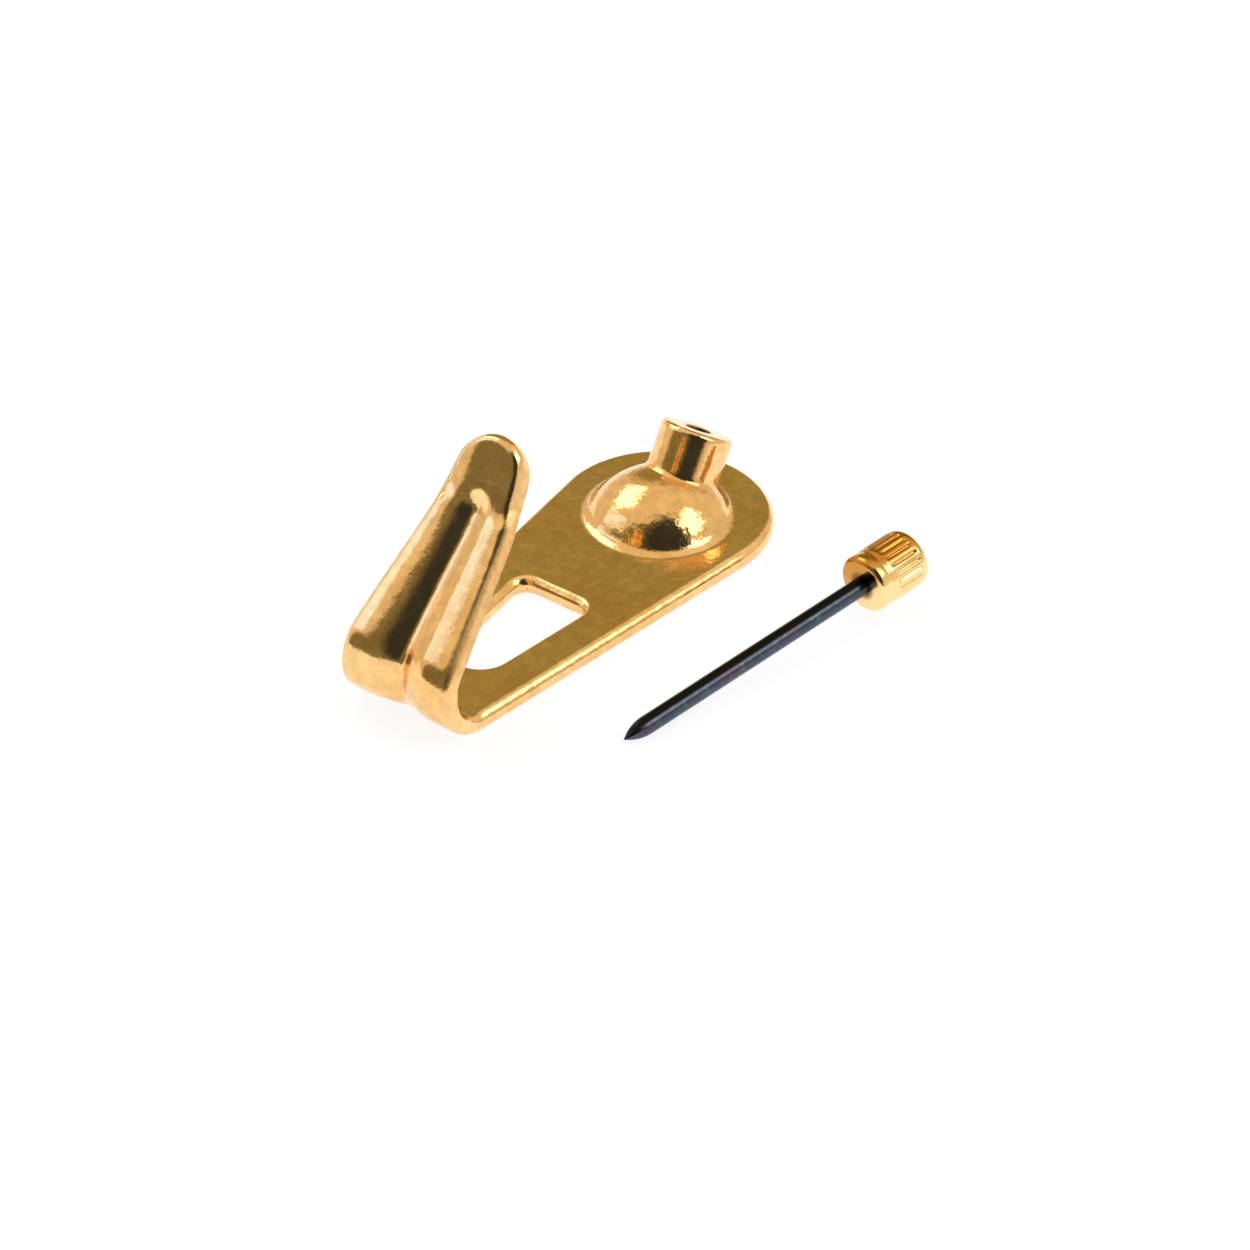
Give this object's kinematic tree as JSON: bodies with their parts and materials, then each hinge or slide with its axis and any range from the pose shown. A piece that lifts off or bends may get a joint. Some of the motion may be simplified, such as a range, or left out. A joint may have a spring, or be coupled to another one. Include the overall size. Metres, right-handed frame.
{
  "type": "picture hook",
  "caption": "Picture hook with a tapered plate, a folded fluted arm and a slanting guide tube on a dome, with its hardened pin lying beside it.",
  "frame": {"origin": "on the wall face of the plate, on its centre line, in the land between the window and the dome", "axes": "+Z out of the wall, +Y towards the round top end, +X across the plate towards the pin"},
  "size_m": [0.0251, 0.0346, 0.0154],
  "materials": {
    "polished_brass": "polished brass finish, slightly rippled",
    "blued_steel": "hardened and blued, glossy",
    "turned_brass": "turned and fluted, bright"
  },
  "bodies": {
    "root": {"hook": "polished_brass", "pin_shank": "blued_steel", "pin_head": "turned_brass"}
  },
  "joints": []
}
